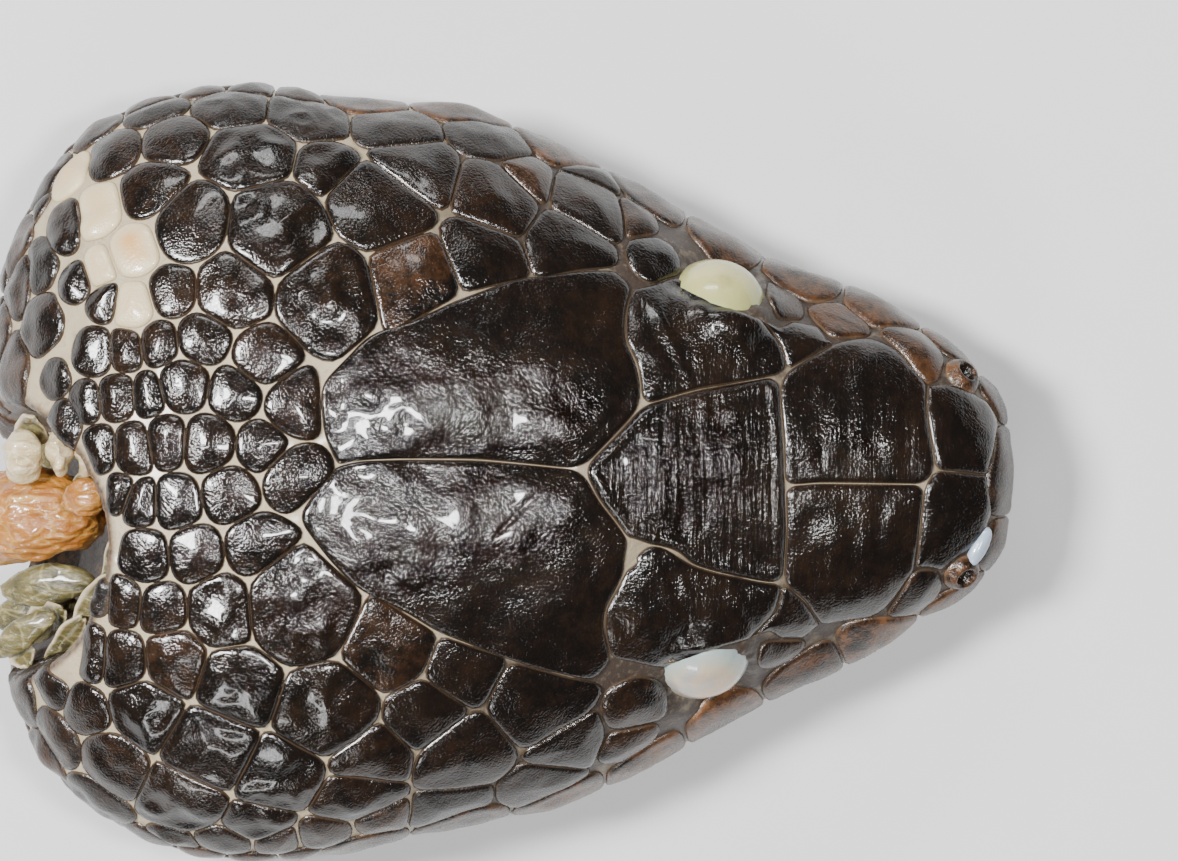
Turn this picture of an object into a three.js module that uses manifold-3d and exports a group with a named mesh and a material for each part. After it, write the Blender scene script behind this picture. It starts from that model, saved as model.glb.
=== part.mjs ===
// A preserved snake's head, severed at the neck and lying on its chin with the mouth shut.
// Millimetres. +X points to the snout, +Y to the animal's left, +Z up. It rests on the plane Z = 0.
// The head is lofted through cross-sections, like a ship's hull through its frames. The neck end is
// hollowed by a bay in which muscle, fat lobes and torn membranes stand, each clear of the others.
import * as THREE from "three";
import { LoftGeometry } from "three/addons/geometries/LoftGeometry.js";
import { mergeVertices } from "three/addons/utils/BufferGeometryUtils.js";
import Module from "manifold-3d";

const wasm = await Module();
wasm.setup();

// Driving dimensions
const GAP = 0.3; // clearance between neighbouring pieces
const FACETS_ROUND_HEAD = 48;
const ROWS_PER_SECTION = 3; // facet rows from one cross-section to the next
const BELLY_FULLNESS = 2.8; // how square the underside is: 2 is an ellipse, more is boxier
const EYE_RADIUS = 2.4;
const EYES = {
  left_eye: [10.1, 6.9, 8.1],
  right_eye: [9.4, -7.7, 8.1],
};

// The bay where the neck was cut, as an ellipsoid that breaks through the nape and the rear face
const BAY_CENTRE = [-22.6, -3.1, 10.0];
const BAY_RADII = [7.1, 6.4, 8.4];

// Cross-sections from the neck to the snout: distance along the head, half-widths on the animal's
// left and right, height of the crown, of the widest level and of the sole, and the crown's fullness.
// A sole below zero is planed off flat, which makes the face that the head rests on.
const SECTIONS = [
  { x: -21.7, left: 6.6, right: 5.6, crown: 8.4, beam: 6.2, sole: 3.6, fullness: 2.0 },
  { x: -21.1, left: 9.6, right: 9.0, crown: 10.4, beam: 6.4, sole: 2.0, fullness: 2.0 },
  { x: -19.6, left: 12.6, right: 12.6, crown: 12.6, beam: 6.7, sole: 0.6, fullness: 2.1 },
  { x: -17.4, left: 15.0, right: 14.9, crown: 14.3, beam: 6.9, sole: -0.3, fullness: 2.2 },
  { x: -14.0, left: 16.5, right: 16.6, crown: 15.5, beam: 6.8, sole: -0.7, fullness: 2.25 },
  { x: -10.0, left: 16.9, right: 17.2, crown: 15.9, beam: 6.4, sole: -0.8, fullness: 2.3 },
  { x: -5.5, left: 16.2, right: 16.6, crown: 15.5, beam: 5.7, sole: -0.8, fullness: 2.3 },
  { x: -1.0, left: 16.0, right: 15.6, crown: 14.7, beam: 5.0, sole: -0.7, fullness: 2.2 },
  { x: 3.0, left: 14.3, right: 14.8, crown: 13.8, beam: 4.4, sole: -0.6, fullness: 2.1 },
  { x: 6.5, left: 12.6, right: 13.4, crown: 12.9, beam: 4.0, sole: -0.5, fullness: 2.05 },
  { x: 10.0, left: 10.7, right: 11.5, crown: 11.8, beam: 3.7, sole: -0.4, fullness: 2.05 },
  { x: 13.5, left: 8.9, right: 9.7, crown: 10.6, beam: 3.5, sole: -0.3, fullness: 2.2 },
  { x: 16.8, left: 7.8, right: 8.2, crown: 9.6, beam: 3.4, sole: -0.1, fullness: 2.4 },
  { x: 19.2, left: 6.4, right: 6.5, crown: 8.8, beam: 3.4, sole: 0.2, fullness: 2.5 },
  { x: 21.2, left: 4.9, right: 5.5, crown: 7.9, beam: 3.5, sole: 0.7, fullness: 2.5 },
  { x: 22.6, left: 3.4, right: 3.9, crown: 6.8, beam: 3.7, sole: 1.5, fullness: 2.3 },
  { x: 23.2, left: 1.7, right: 1.9, crown: 5.2, beam: 3.9, sole: 2.8, fullness: 2.0 },
];

// Strands of tissue in the bay: a path, and how wide and how thick the strand is at its start,
// middle and end
const STRANDS = {
  neck_muscle_main: {
    path: [[-17.0, -2.2, 7.4], [-19.2, -1.9, 7.9], [-21.3, -2.1, 7.2], [-23.4, -2.4, 6.2]],
    width: [2.6, 3.8, 3.6],
    thickness: [2.4, 3.6, 3.2],
  },
  neck_muscle_small: {
    path: [[-16.6, -1.0, 11.2], [-17.6, -1.2, 11.0], [-18.8, -1.4, 10.5]],
    width: [1.0, 1.5, 0.9],
    thickness: [0.9, 1.1, 0.7],
  },
  membrane_upper: {
    path: [[-17.4, -4.9, 7.2], [-19.4, -5.1, 6.6], [-21.8, -5.4, 5.6]],
    width: [1.2, 2.1, 1.4],
    thickness: [0.6, 0.9, 0.5],
  },
  membrane_middle: {
    path: [[-18.2, -6.0, 5.9], [-20.0, -6.3, 5.3], [-22.3, -6.8, 4.2]],
    width: [1.2, 2.2, 1.2],
    thickness: [0.5, 0.9, 0.5],
  },
  membrane_lower: {
    path: [[-19.1, -6.4, 7.8], [-20.6, -7.2, 7.2], [-22.3, -8.7, 6.0]],
    width: [0.9, 1.5, 0.3],
    thickness: [0.5, 0.7, 0.3],
  },
};

// Fat lobes along the cut edge of the nape: centre and radii
const LOBES = {
  fat_lobe_outer: { centre: [-20.5, 0.7, 9.9], radii: [0.85, 0.8, 0.8] },
  fat_lobe_middle: { centre: [-18.85, 0.75, 10.4], radii: [0.5, 0.75, 0.7] },
  fat_lobe_inner: { centre: [-17.65, 0.35, 10.6], radii: [0.4, 0.55, 0.5] },
};

const skinMaterial = new THREE.MeshStandardMaterial({ color: 0x2a1c14, roughness: 0.32, metalness: 0 });
const eyeMaterial = new THREE.MeshStandardMaterial({ color: 0xcfcfae, roughness: 0.2, metalness: 0 });
const muscleMaterial = new THREE.MeshStandardMaterial({ color: 0xc98d55, roughness: 0.35, metalness: 0 });
const fatMaterial = new THREE.MeshStandardMaterial({ color: 0xe6ddc8, roughness: 0.3, metalness: 0 });
const membraneMaterial = new THREE.MeshStandardMaterial({ color: 0x7d7142, roughness: 0.4, metalness: 0 });

// Turns a closed geometry into a solid that can be cut.
function solidFrom(geometry) {
  const bare = new THREE.BufferGeometry();
  bare.setAttribute("position", geometry.attributes.position);
  bare.setIndex(geometry.index);
  const merged = mergeVertices(bare, 1e-4);
  const vertProperties = new Float32Array(merged.attributes.position.array);
  const triVerts = new Uint32Array(merged.index.array);
  return new wasm.Manifold(new wasm.Mesh({ numProp: 3, vertProperties, triVerts }));
}

// Turns a solid back into a geometry.
function geometryFrom(solid) {
  const mesh = solid.getMesh();
  const geometry = new THREE.BufferGeometry();
  geometry.setAttribute("position", new THREE.BufferAttribute(mesh.vertProperties, 3));
  geometry.setIndex(new THREE.BufferAttribute(mesh.triVerts, 1));
  geometry.computeVertexNormals();
  return geometry;
}

function ellipsoid(centre, radii, columns, rows) {
  const geometry = new THREE.SphereGeometry(1, columns, rows);
  geometry.scale(...radii);
  geometry.translate(...centre);
  return geometry;
}

// One ring of the head's surface: a superellipse above the widest level and a boxier one below.
function headRing(t, rails) {
  const at = (key) => rails[key].getPoint(t).y;
  const x = rails.left.getPoint(t).x;
  const ring = [];
  for (let i = 0; i < FACETS_ROUND_HEAD; i += 1) {
    const angle = (2 * Math.PI * i) / FACETS_ROUND_HEAD;
    const across = Math.cos(angle);
    const up = Math.sin(angle);
    const fullness = up > 0 ? at("fullness") : BELLY_FULLNESS;
    const halfWidth = across > 0 ? at("left") : at("right");
    const height = up > 0 ? at("crown") - at("beam") : at("beam") - at("sole");
    const y = Math.sign(across) * halfWidth * Math.abs(across) ** (2 / fullness);
    const z = at("beam") + Math.sign(up) * height * Math.abs(up) ** (2 / fullness);
    ring.push(new THREE.Vector3(x, y, z));
  }
  return ring;
}

function headHull() {
  const rails = {};
  for (const key of ["left", "right", "crown", "beam", "sole", "fullness"]) {
    rails[key] = new THREE.SplineCurve(SECTIONS.map((s) => new THREE.Vector2(s.x, s[key])));
  }
  const rows = (SECTIONS.length - 1) * ROWS_PER_SECTION;
  const rings = [];
  for (let row = 0; row <= rows; row += 1) rings.push(headRing(row / rows, rails));
  return new LoftGeometry(rings, { capStart: true, capEnd: true });
}

// The head: the hull, planed flat underneath, with the bay and the eye sockets cut out.
function headGeometry() {
  const room = new THREE.BoxGeometry(80, 80, 40);
  room.translate(0, 0, 20);
  let head = solidFrom(headHull()).intersect(solidFrom(room));
  head = head.subtract(solidFrom(ellipsoid(BAY_CENTRE, BAY_RADII, 36, 20)));
  for (const centre of Object.values(EYES)) {
    const socket = EYE_RADIUS + GAP;
    head = head.subtract(solidFrom(ellipsoid(centre, [socket, socket, socket], 24, 14)));
  }
  return geometryFrom(head);
}

// A strand of tissue: oval rings along a curve, level with the ground across their width.
function strandGeometry({ path, width, thickness }) {
  const curve = new THREE.CatmullRomCurve3(path.map((p) => new THREE.Vector3(...p)));
  const spread = (values) => new THREE.SplineCurve(values.map((v, i) => new THREE.Vector2(i, v)));
  const widths = spread(width);
  const thicknesses = spread(thickness);
  const steps = 10;
  const facets = 12;
  const upright = new THREE.Vector3(0, 0, 1);
  const rings = [];
  for (let step = 0; step <= steps; step += 1) {
    const t = step / steps;
    const endRounding = Math.sqrt(1 - (2 * t - 1) ** 8 * 0.84);
    const along = curve.getTangentAt(t);
    const side = new THREE.Vector3().crossVectors(upright, along).normalize();
    const over = new THREE.Vector3().crossVectors(along, side);
    const ring = [];
    for (let i = 0; i < facets; i += 1) {
      const angle = (2 * Math.PI * i) / facets;
      const point = curve.getPointAt(t);
      point.addScaledVector(side, 0.5 * widths.getPoint(t).y * endRounding * Math.cos(angle));
      point.addScaledVector(over, 0.5 * thicknesses.getPoint(t).y * endRounding * Math.sin(angle));
      ring.push(point);
    }
    rings.push(ring);
  }
  return new LoftGeometry(rings, { capStart: true, capEnd: true });
}

function add(group, name, geometry, material) {
  const mesh = new THREE.Mesh(geometry, material);
  mesh.name = name;
  group.add(mesh);
}

const specimen = new THREE.Group();
add(specimen, "head", headGeometry(), skinMaterial);
for (const [name, centre] of Object.entries(EYES)) {
  const radii = [EYE_RADIUS, EYE_RADIUS, EYE_RADIUS];
  add(specimen, name, ellipsoid(centre, radii, 20, 12), eyeMaterial.clone());
}
for (const [name, strand] of Object.entries(STRANDS)) {
  const material = name.startsWith("neck_muscle") ? muscleMaterial : membraneMaterial;
  add(specimen, name, strandGeometry(strand), material.clone());
}
for (const [name, lobe] of Object.entries(LOBES)) {
  add(specimen, name, ellipsoid(lobe.centre, lobe.radii, 16, 10), fatMaterial.clone());
}

// The box's footprint is centred on the origin.
specimen.updateMatrixWorld(true);
const box = new THREE.Box3().setFromObject(specimen);
specimen.position.set(-(box.min.x + box.max.x) / 2, -(box.min.y + box.max.y) / 2, -box.min.z);

export default specimen;
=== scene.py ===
# A preserved snake's head: glossy dark shields and scales over pale skin, clouded eyes and a torn neck.
import math
import random

import bmesh
import bpy
from bpy.props import FloatProperty, FloatVectorProperty, PointerProperty
from bpy.types import Operator, Panel, PropertyGroup
from mathutils import Matrix, Vector, noise
from mathutils.bvhtree import BVHTree
from mathutils.kdtree import KDTree


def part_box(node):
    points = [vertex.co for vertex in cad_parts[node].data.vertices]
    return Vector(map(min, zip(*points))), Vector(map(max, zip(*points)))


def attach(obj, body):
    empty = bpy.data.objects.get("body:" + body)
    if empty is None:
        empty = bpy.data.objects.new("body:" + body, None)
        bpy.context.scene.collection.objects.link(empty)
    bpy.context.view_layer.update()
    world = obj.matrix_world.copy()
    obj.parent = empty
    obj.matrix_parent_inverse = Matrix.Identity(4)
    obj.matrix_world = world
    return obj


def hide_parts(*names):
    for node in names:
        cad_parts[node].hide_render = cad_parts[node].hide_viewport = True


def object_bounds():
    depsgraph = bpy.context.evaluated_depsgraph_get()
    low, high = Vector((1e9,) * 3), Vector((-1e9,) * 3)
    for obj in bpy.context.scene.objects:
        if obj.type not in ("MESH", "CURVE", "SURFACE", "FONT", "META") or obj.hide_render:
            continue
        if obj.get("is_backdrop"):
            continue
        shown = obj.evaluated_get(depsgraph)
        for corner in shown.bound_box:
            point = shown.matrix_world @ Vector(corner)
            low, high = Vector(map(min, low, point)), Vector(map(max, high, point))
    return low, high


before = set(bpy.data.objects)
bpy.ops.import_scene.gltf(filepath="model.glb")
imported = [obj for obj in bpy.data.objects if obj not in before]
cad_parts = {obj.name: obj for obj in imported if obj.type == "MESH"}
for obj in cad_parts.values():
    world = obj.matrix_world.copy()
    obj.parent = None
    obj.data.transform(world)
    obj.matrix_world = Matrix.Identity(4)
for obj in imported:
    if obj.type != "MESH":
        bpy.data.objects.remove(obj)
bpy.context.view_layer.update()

bl_info = {
    "name": "Preserved Snake Head",
    "version": (1, 0, 0),
    "blender": (4, 5, 0),
    "location": "3D View > Sidebar > Snake Head",
    "description": "Builds a preserved snake's head, scale by scale, round its solid model",
    "category": "Add Mesh",
}

MM = 0.001
HEAD_LOW, HEAD_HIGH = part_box("head")
SNOUT_REACH = 23.2  # mm from the crown's centre, where the scales are measured from, to the snout tip
MIDLINE_LEAN = 0.155  # mm that the crown's midline lies to the left of the head's middle
CROWN_CENTRE = Vector(
    (
        HEAD_HIGH.x - SNOUT_REACH * MM,
        (HEAD_LOW.y + HEAD_HIGH.y) / 2 + MIDLINE_LEAN * MM,
        HEAD_LOW.z,
    )
)
BAY_CENTRE = (-22.6, -3.1, 10.0)  # the hollow where the neck was cut, as an ellipsoid
BAY_RADII = (7.1, 6.4, 8.4)

# The crown's shields, as outlines in millimetres seen from above: ahead of the crown's centre, then left.
SUTURE = [(-6.6, 0.15), (-5.9, 0.42), (-3.7, 0.5), (-0.4, 0.48), (1.5, 0.3), (3.95, 0.05)]
CROWN_SHIELDS = {
    "left_parietal": SUTURE
    + [(4.3, 0.35), (5.6, 1.55), (6.75, 2.75), (6.75, 3.5), (6.55, 4.4), (6.1, 5.4), (6.05, 6.4)]
    + [(6.4, 7.6), (6.1, 8.9), (3.3, 8.7), (1.35, 8.45), (-1.4, 7.45), (-3.1, 6.6), (-5.1, 6.0)]
    + [(-6.2, 4.8), (-7.25, 3.8), (-7.1, 1.6)],
    "right_parietal": [(-6.6, 0.05), (-8.3, -2.0), (-6.8, -4.0), (-5.5, -5.3), (-3.55, -6.2), (-2.0, -7.2)]
    + [(-1.05, -7.5), (0.4, -8.15), (2.45, -8.8), (5.05, -9.4), (5.45, -8.2), (5.15, -7.2)]
    + [(5.15, -6.2), (5.85, -5.0), (6.3, -3.25), (5.65, -2.2), (4.95, -1.4), (4.35, -0.2)]
    + SUTURE[:0:-1],
    "frontal": [(4.4, -0.05), (5.7, 1.4), (6.95, 2.8), (9.3, 3.5), (12.9, 4.1), (13.1, 1.4), (13.15, -0.8)]
    + [(13.3, -2.5), (13.05, -5.0), (10.2, -4.45), (9.0, -4.05), (8.65, -3.1), (7.25, -2.8)]
    + [(6.4, -3.1), (5.75, -2.2), (5.05, -1.4)],
    "left_supraocular": [(7.0, 2.95), (6.9, 4.8), (6.2, 5.75), (6.1, 7.4), (6.5, 7.85), (8.35, 8.6)]
    + [(9.1, 8.0), (9.85, 7.55), (10.9, 7.1), (12.1, 6.7), (13.0, 5.6), (13.3, 4.5), (12.2, 4.1)]
    + [(9.35, 3.6)],
    "right_supraocular": [(5.95, -5.05), (5.25, -6.2), (5.25, -7.2), (5.5, -8.1), (6.3, -8.45)]
    + [(7.7, -8.8), (9.1, -8.4), (9.9, -7.95), (11.5, -7.5), (12.75, -6.3), (13.1, -5.1)]
    + [(12.1, -5.05), (9.8, -4.5), (8.15, -4.0), (7.3, -3.7), (6.7, -3.9)],
    "left_prefrontal": [(13.4, 4.4), (15.5, 5.6), (16.8, 5.95), (17.6, 5.75), (18.4, 5.25), (19.5, 3.8)]
    + [(19.5, 3.0), (19.9, 0.2), (19.4, -0.6), (18.0, -0.6), (14.7, -0.55), (13.25, -0.65)]
    + [(13.2, 1.4), (13.0, 3.4)],
    "right_prefrontal": [(13.3, -0.75), (14.7, -0.6), (18.0, -0.65), (19.4, -0.7), (19.25, -2.9)]
    + [(19.0, -4.5), (17.9, -6.1), (17.2, -6.6), (14.9, -6.9), (14.15, -5.8), (13.25, -5.0)],
    "left_loreal": [(12.15, 6.7), (13.05, 5.6), (13.4, 4.5), (15.4, 5.65), (14.8, 6.4), (13.6, 6.6)],
    "right_loreal": [(13.15, -5.15), (14.1, -5.85), (14.8, -6.95), (14.2, -7.5), (11.75, -7.5)]
    + [(12.85, -6.35)],
    "left_internasal": [(19.7, 3.8), (19.55, 2.6), (19.95, 0.2), (20.1, 0.05), (22.25, -0.2)]
    + [(22.5, 0.2), (22.85, 2.2), (22.4, 3.0), (21.2, 3.7), (20.2, 3.9)],
    "right_internasal": [(20.0, -0.1), (19.45, -0.95), (19.2, -3.1), (19.05, -4.35), (20.3, -4.5)]
    + [(21.4, -3.6), (22.2, -3.0), (22.55, -1.8), (22.35, -0.3), (21.2, -0.15)],
}

# Small scales, each by its middle and its radius in millimetres seen from above.
CREAM_SCALES = [(-18.5, 13.1, 0.95), (-17.0, 11.4, 1.1), (-16.9, 8.85, 0.8), (-15.4, 7.25, 1.0)]
AMBER_SCALES = [(-15.3, 9.7, 1.25)]
NAPE_SCALES = [
    (-13.8, 14.6, 1.2), (-16.5, 14.0, 1.05), (-14.75, 12.2, 1.35), (-12.85, 10.7, 1.85),
    (-13.55, 7.9, 1.25), (-18.5, 10.7, 0.95), (-19.8, 9.0, 1.0), (-19.8, 11.6, 0.65),
    (-18.0, 8.3, 0.7), (-19.65, 6.45, 1.05), (-16.65, 7.4, 0.7), (-14.6, 15.95, 1.1),
    (-12.3, 5.85, 1.25), (-14.2, 5.55, 0.92), (-13.15, 3.75, 1.15), (-10.95, 3.45, 1.2),
    (-9.75, 5.0, 1.35), (-8.3, 2.9, 1.3), (-13.9, 1.25, 1.1), (-12.15, 1.15, 1.25),
    (-9.8, 1.0, 1.1), (-14.75, 3.3, 0.85), (-15.4, 0.95, 1.1), (-16.8, 0.9, 0.95),
    (-17.45, 3.0, 0.75), (-16.1, 3.2, 0.95), (-17.0, 5.15, 0.9), (-15.8, 5.25, 0.85),
    (-18.85, 4.0, 0.65), (-18.65, 2.0, 0.9), (-16.05, -0.9, 0.75), (-15.0, -1.35, 0.85),
    (-13.45, -1.35, 1.1), (-11.15, -1.0, 1.25), (-8.3, -0.45, 1.4), (-14.8, -3.8, 1.05),
    (-12.6, -3.7, 1.25), (-9.85, -3.45, 1.55), (-14.1, -6.1, 1.15), (-15.8, -5.8, 0.95),
    (-16.9, -5.6, 0.6), (-15.8, -8.3, 1.2), (-17.4, -7.9, 1.1), (-19.15, -9.4, 0.9),
    (-19.05, -11.9, 1.05), (-17.6, -10.6, 1.0), (-16.35, -12.9, 1.5), (-17.3, -14.65, 1.5),
]
TEMPORAL_SCALES = [
    (-9.15, 10.45, 2.35), (-6.95, 7.7, 2.3), (-4.85, 11.65, 2.15), (-6.85, 13.1, 1.15),
    (-10.45, 13.8, 1.65), (-11.0, 8.0, 1.85), (-0.1, 9.25, 1.6), (3.7, 9.8, 1.9), (-3.2, 13.25, 1.6),
    (0.6, 12.0, 1.7), (4.6, 11.75, 1.9), (-7.9, 15.7, 1.5), (-4.1, 15.2, 1.6), (0.1, 14.9, 1.6),
    (4.6, 13.25, 1.4), (-11.4, 16.1, 1.35), (-11.4, -6.1, 1.65), (-8.0, -5.85, 2.6),
    (-10.85, -9.35, 1.75), (-14.85, -10.65, 1.55), (-13.4, -14.5, 1.8), (-12.15, -12.25, 2.0),
    (-10.2, -15.6, 1.25), (-9.2, -13.45, 1.75), (-6.95, -10.45, 2.1), (-1.1, -8.7, 1.4),
    (-2.75, -10.75, 1.5), (-5.0, -12.7, 1.5), (-1.0, -12.7, 1.9), (3.7, -12.0, 1.6),
    (-5.65, -14.45, 1.6), (-1.65, -14.9, 1.6), (2.35, -14.0, 1.6), (-13.65, -16.4, 1.1),
    (2.6, -10.1, 2.2), (7.4, 9.3, 0.9),
]
BROWN_SCALES = [(-3.2, 8.3, 2.0), (-4.3, -7.55, 2.0), (-13.6, -8.35, 1.45)]

# The rest are placed by height on the sides: ahead, height and radius, the same on both sides.
UPPER_LIP_SCALES = [
    (20.9, 4.5, 1.5), (17.6, 4.8, 1.8), (14.2, 4.9, 1.8), (10.6, 4.8, 1.7), (7.1, 5.0, 1.8),
    (3.2, 5.4, 2.0), (-1.2, 6.0, 2.2), (-5.6, 6.6, 2.1),
]
LOWER_LIP_SCALES = [
    (20.8, 2.0, 1.2), (18.0, 1.7, 1.4), (14.8, 1.5, 1.5), (11.2, 1.4, 1.7), (7.2, 1.5, 1.9),
    (3.0, 1.7, 2.0), (-1.4, 2.0, 2.1), (-5.8, 2.4, 2.0),
]
NOSE_SCALES = [(19.0, 6.9, 1.5), (15.6, 7.3, 1.3), (13.1, 7.9, 0.9), (6.2, 8.2, 1.1)]

NOSTRIL = (21.2, 6.3, 0.95)  # ahead, height and radius of the shield that each nostril opens in

MOUTH_CORNER = -9.0  # how far back the slit of the mouth runs, mm from the crown's centre
FAMILIES = (
    "nape_scales", "cream_scales", "temporal_scales_left", "temporal_scales_right", "upper_lip_scales",
    "lower_lip_scales", "nose_scales", "cheek_scales_left", "cheek_scales_right", "throat_scales",
)
store = {}  # surfaces and scale layouts that several operators share


# ---------------------------------------------------------------- places and surfaces


def spot(x, y, z=0.0):
    """A place given in millimetres from the crown's centre, in metres in the head's frame."""
    return CROWN_CENTRE + Vector((x, y, z)) * MM


def drawn(place):
    """The same the other way: metres in the head's frame to millimetres from the crown's centre."""
    return (place - CROWN_CENTRE) / MM


def smooth_step(low, high, value):
    """0 at low and beyond it, 1 at high and beyond it, and a smooth run between; either may be greater."""
    t = min(max((value - low) / (high - low), 0.0), 1.0)
    return t * t * (3 - 2 * t)


def hump(distance, width):
    """1 at no distance, falling away smoothly to either side."""
    return math.exp(-((distance / width) ** 2))


def mouth_height(x):
    """How high the slit of the mouth runs: level at the snout, then up to its corner."""
    return 3.1 + 1.5 * smooth_step(6.0, MOUTH_CORNER, x)


def bay_depth(point):
    """Below 1 inside the hollow at the neck, above 1 outside it."""
    parts = ((point[i] - BAY_CENTRE[i]) / BAY_RADII[i] for i in range(3))
    return math.sqrt(sum(part * part for part in parts))


def link(name, bm, material):
    """Makes a finished piece of a bmesh: closed, shaded smooth, with its finish, on the specimen."""
    rims = [edge for edge in bm.edges if edge.is_boundary]
    floors = set(bmesh.ops.holes_fill(bm, edges=rims, sides=0)["faces"])
    bmesh.ops.recalc_face_normals(bm, faces=bm.faces)
    mesh = bpy.data.meshes.new(name)
    for face in bm.faces:
        face.smooth = face not in floors
    bm.to_mesh(mesh)
    bm.free()
    piece = bpy.data.objects.new(name, mesh)
    bpy.context.scene.collection.objects.link(piece)
    mesh.materials.append(material)
    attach(piece, "root")
    return piece


def node_surface(*nodes):
    """The closed surfaces of some of the solid model's nodes, with their corners joined up."""
    bm = bmesh.new()
    for node in nodes:
        bm.from_mesh(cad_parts[node].data)
    bmesh.ops.remove_doubles(bm, verts=bm.verts, dist=0.0005 * MM)
    return bm


def even_grid(bm, cell):
    """The same body with a skin of even little squares; bodies that overlap become one."""
    mesh = bpy.data.meshes.new("even_grid")
    bm.to_mesh(mesh)
    bm.free()
    holder = bpy.data.objects.new("even_grid", mesh)
    bpy.context.scene.collection.objects.link(holder)
    remesh = holder.modifiers.new("Even grid", "REMESH")
    remesh.mode = "VOXEL"
    remesh.voxel_size = cell
    remesh.adaptivity = 0.0
    evaluated = holder.evaluated_get(bpy.context.evaluated_depsgraph_get())
    fine = bmesh.new()
    fine.from_mesh(evaluated.to_mesh())
    evaluated.to_mesh_clear()
    bpy.data.objects.remove(holder)
    bpy.data.meshes.remove(mesh)
    return fine


def point_tree(points):
    """A quick finder of the nearest of some points."""
    tree = KDTree(len(points))
    for i, point in enumerate(points):
        tree.insert(point, i)
    tree.balance()
    return tree


def softened(points):
    """A closed outline with each point drawn a little towards the two beside it."""
    count = len(points)
    return [(points[i - 1] + points[i] * 2 + points[(i + 1) % count]) / 4 for i in range(count)]


def relax(bm, passes):
    for _ in range(passes):
        bmesh.ops.smooth_vert(
            bm, verts=bm.verts, factor=0.5, use_axis_x=True, use_axis_y=True, use_axis_z=True
        )


# ---------------------------------------------------------------- looks


class Flow:
    """A number running through a material: working on it adds the Math nodes that do the work."""

    def __init__(self, look, socket):
        self.look = look
        self.socket = socket

    def math(self, operation, first, second, clamp=False):
        settings = {"operation": operation, "use_clamp": clamp}
        return self.look.node("ShaderNodeMath", settings, {0: first, 1: second})

    def __add__(self, other):
        return self.math("ADD", self, other)

    __radd__ = __add__

    def __mul__(self, other):
        return self.math("MULTIPLY", self, other)

    __rmul__ = __mul__

    def __sub__(self, other):
        return self.math("SUBTRACT", self, other)

    def __rsub__(self, other):
        return self.math("SUBTRACT", other, self)

    def clamped(self):
        return self.math("ADD", self, 0.0, clamp=True)

    def over(self, low, high):
        """0 below low, 1 above high, and a smooth rise between them; falls if low is the greater."""
        settings = {"interpolation_type": "SMOOTHSTEP"}
        if low < high:
            return self.look.node("ShaderNodeMapRange", settings, {0: self, 1: low, 2: high})
        values = {0: self, 1: high, 2: low, 3: 1.0, 4: 0.0}
        return self.look.node("ShaderNodeMapRange", settings, values)


class Look:
    """A material and the tools that lay out its nodes. Its textures work in millimetres."""

    def __init__(self, name, **constants):
        self.material = bpy.data.materials.new(name)
        self.material.use_nodes = True
        self.tree = self.material.node_tree
        self.shader = self.tree.nodes["Principled BSDF"]
        for socket, value in constants.items():
            self.shader.inputs[socket.replace("_", " ")].default_value = value

    def node(self, kind, settings=None, inputs=None, output=0):
        made = self.tree.nodes.new(kind)
        for key, value in (settings or {}).items():
            setattr(made, key, value)
        for key, value in (inputs or {}).items():
            self.feed(made.inputs[key], value)
        return Flow(self, made.outputs[output])

    def feed(self, socket, value):
        if isinstance(value, Flow):
            self.tree.links.new(value.socket, socket)
        elif isinstance(value, (tuple, list)) and socket.type == "RGBA" and len(value) == 3:
            socket.default_value = (*value, 1.0)
        else:
            socket.default_value = value

    def attribute(self, name):
        settings = {"attribute_name": name, "attribute_type": "GEOMETRY"}
        return self.node("ShaderNodeAttribute", settings, output=2)

    def place(self, stretch=(1.0, 1.0, 1.0), turn=0.0, tilt=0.0):
        """Object coordinates in millimetres, stretched, turned about the vertical and tilted."""
        where = self.node("ShaderNodeTexCoord", output=3)
        scale = tuple(part / MM for part in stretch)
        return self.node("ShaderNodeMapping", None, {0: where, 2: (tilt, tilt * 0.7, turn), 3: scale})

    def noise(self, place, scale, detail, roughness):
        values = {"Vector": place, "Scale": scale, "Detail": detail, "Roughness": roughness}
        return self.node("ShaderNodeTexNoise", {"normalize": True}, values)

    def cracks(self, place, scale):
        """The distance to the nearest edge of a web of irregular cells."""
        settings = {"feature": "DISTANCE_TO_EDGE"}
        return self.node("ShaderNodeTexVoronoi", settings, {"Vector": place, "Scale": scale})

    def shift(self, place, amount, scale):
        """The place pushed about by a slow noise, so that a pattern on it wanders."""
        values = {"Vector": place, "Scale": scale, "Detail": 2.0}
        wander = self.node("ShaderNodeTexNoise", None, values, output=1)
        settings = {"operation": "MULTIPLY_ADD"}
        values = {0: wander, 1: (amount,) * 3, 2: place}
        return self.node("ShaderNodeVectorMath", settings, values)

    def mix(self, factor, first, second):
        """The first colour where the factor is 0 and the second where it is 1."""
        settings = {"data_type": "RGBA"}
        return self.node("ShaderNodeMix", settings, {0: factor, 6: first, 7: second}, output=2)

    def finish(self, colour, roughness, height, depth, coat=None):
        """Joins the colour, the roughness and a relief of the given depth in millimetres."""
        self.feed(self.shader.inputs["Base Color"], colour)
        self.feed(self.shader.inputs["Roughness"], roughness)
        if coat is not None:
            self.feed(self.shader.inputs["Coat Weight"], coat)
        relief = self.node("ShaderNodeBump", None, {"Height": height, "Distance": depth * MM})
        self.feed(self.shader.inputs["Normal"], relief)
        return self.material


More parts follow.
